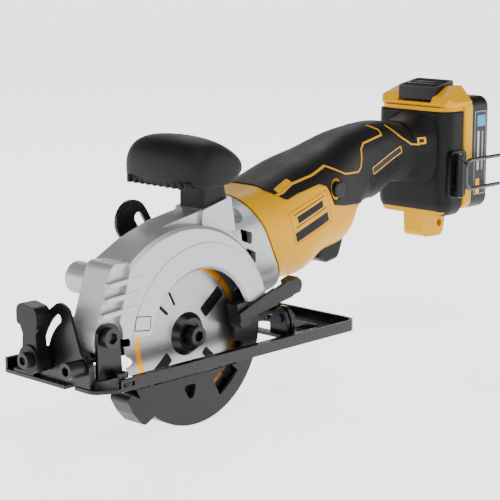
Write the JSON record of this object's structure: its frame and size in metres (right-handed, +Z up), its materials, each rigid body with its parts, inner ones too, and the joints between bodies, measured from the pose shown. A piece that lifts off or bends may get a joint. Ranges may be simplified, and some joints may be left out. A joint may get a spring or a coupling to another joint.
{
  "type": "cordless circular saw",
  "caption": "Compact one-hand cordless circular saw with cast guard, swinging lower guard, tilting steel shoe, brushless motor grip, palm knob and slide-on battery.",
  "frame": {"origin": "point of the sole plane straight below the blade's axis, in the middle plane of the blade", "axes": "+X towards the battery, +Y towards the motor side, +Z up from the sole"},
  "size_m": [0.4681, 0.1031, 0.21],
  "materials": {
    "cast_aluminium": "fine sand-blasted casting",
    "yellow_plastic": "moulded, light texture",
    "dark_rubber": "soft overmould",
    "black_plastic": "moulded, fine texture",
    "guard_plastic": "dark grey moulding",
    "black_steel": "satin black coating",
    "fastener_steel": "blackened screws",
    "blade_steel": "ground disc",
    "tool_steel": "machined",
    "copper": "wound wire and terminals",
    "pouch_foil": "cell foil",
    "circuit": "potted electronics"
  },
  "bodies": {
    "saw_body": {"motor_housing_left": "yellow_plastic", "motor_housing_right": "yellow_plastic", "housing_screws": "fastener_steel", "grip_overmold": "dark_rubber", "grip_piping": "yellow_plastic", "belly_bumper": "dark_rubber", "foot_shell": "yellow_plastic", "foot_overmold": "dark_rubber", "rail_block": "black_plastic", "terminal_blades": "copper", "switch_module": "black_plastic", "controller": "circuit", "upper_guard": "cast_aluminium", "gear_case": "cast_aluminium", "gear_case_screws": "fastener_steel", "front_handle_stem": "black_plastic", "front_handle_grip": "dark_rubber", "front_handle_bolt": "fastener_steel", "depth_clamp_bolt": "fastener_steel", "spindle_bearing_front": "tool_steel", "spindle_bearing_rear": "tool_steel", "rotor_bearing_front": "tool_steel", "rotor_bearing_rear": "tool_steel", "motor_end_plate": "black_plastic", "stator": "copper", "guard_return_spring": "tool_steel", "hook_bracket": "black_plastic", "hook_pin": "tool_steel"},
    "spindle": {"blade": "blade_steel", "blade_tips": "tool_steel", "spindle_shaft": "tool_steel", "ring_gear": "tool_steel", "inner_flange": "tool_steel", "outer_flange": "black_steel", "blade_bolt": "fastener_steel"},
    "rotor": {"rotor_core": "tool_steel", "rotor_shaft": "tool_steel", "cooling_fan": "black_plastic", "pinion": "tool_steel"},
    "swing_guard": {"lower_guard": "guard_plastic", "guard_lever": "guard_plastic"},
    "bevel_frame": {"front_yoke": "black_steel", "depth_bracket": "black_steel", "depth_pivot_screw": "fastener_steel", "bevel_pivot_screws": "fastener_steel"},
    "shoe_plate": {"shoe": "black_steel", "bevel_quadrant": "black_steel", "fence_clamp_screw": "fastener_steel"},
    "bevel_clamp": {"bevel_lever": "black_plastic", "bevel_clamp_bolt": "fastener_steel"},
    "depth_clamp": {"depth_lever": "black_plastic"},
    "trigger": {"trigger": "black_plastic"},
    "lock_off": {"lock_off_button": "black_plastic"},
    "spindle_lock": {"spindle_lock_button": "black_plastic"},
    "hook": {"hook_swivel": "black_plastic", "hook_wire": "tool_steel"},
    "battery": {"battery_cap": "yellow_plastic", "battery_case": "black_plastic", "battery_cells": "pouch_foil"},
    "battery_release": {"battery_latch": "black_plastic"}
  },
  "joints": [
    {"name": "blade_spin", "type": "hinge", "parent": "saw_body", "child": "spindle", "pos_m": [0, 0, 0.0185], "axis": [0, 1, 0], "continuous": true},
    {"name": "rotor_spin", "type": "hinge", "parent": "saw_body", "child": "rotor", "pos_m": [0, 0.036, 0.0185], "axis": [0.8988, 0, 0.4384], "continuous": true},
    {"name": "guard_swing", "type": "hinge", "parent": "saw_body", "child": "swing_guard", "pos_m": [0, 0, 0.0185], "axis": [0, -1, 0], "range_deg": [0, 110], "stiffness_Nm_per_rad": 0.03, "springref_deg": -68.75},
    {"name": "depth_tilt", "type": "hinge", "parent": "saw_body", "child": "bevel_frame", "pos_m": [-0.084, 0, 0.0335], "axis": [0, 1, 0], "range_deg": [0, 26]},
    {"name": "bevel_tilt", "type": "hinge", "parent": "bevel_frame", "child": "shoe_plate", "pos_m": [0, -0.008, 0.0155], "axis": [-1, 0, 0], "range_deg": [0, 50]},
    {"name": "bevel_lever_turn", "type": "hinge", "parent": "bevel_frame", "child": "bevel_clamp", "pos_m": [-0.11, 0.02777, 0.017], "axis": [1, 0, 0], "range_deg": [0, 55]},
    {"name": "depth_lever_turn", "type": "hinge", "parent": "saw_body", "child": "depth_clamp", "pos_m": [0.02068, 0.055, 0.0417], "axis": [0, -1, 0], "range_deg": [0, 40]},
    {"name": "trigger_pull", "type": "slide", "parent": "saw_body", "child": "trigger", "axis": [0, 0, 1], "range_m": [0, 0.005], "stiffness_N_per_m": 400, "springref_m": -0.004},
    {"name": "lock_off_push", "type": "slide", "parent": "saw_body", "child": "lock_off", "axis": [0, 1, 0], "range_m": [0, 0.004], "stiffness_N_per_m": 300, "springref_m": -0.003},
    {"name": "spindle_lock_push", "type": "slide", "parent": "saw_body", "child": "spindle_lock", "axis": [0.5, 0, -0.866], "range_m": [0, 0.0034], "stiffness_N_per_m": 300, "springref_m": -0.003},
    {"name": "hook_turn", "type": "hinge", "parent": "saw_body", "child": "hook", "pos_m": [0.297, -0.0072, 0.0955], "axis": [0, 0, -1], "range_deg": [0, 90]},
    {"name": "battery_slide", "type": "slide", "parent": "saw_body", "child": "battery", "axis": [0, 0, 1], "range_m": [0, 0.09]},
    {"name": "battery_release_push", "type": "slide", "parent": "battery", "child": "battery_release", "axis": [0, 0, -1], "range_m": [0, 0.003], "stiffness_N_per_m": 300, "springref_m": -0.003}
  ],
  "couplings": [
    {"joint": "rotor_spin", "follows": "blade_spin", "ratio": 4.1667}
  ]
}
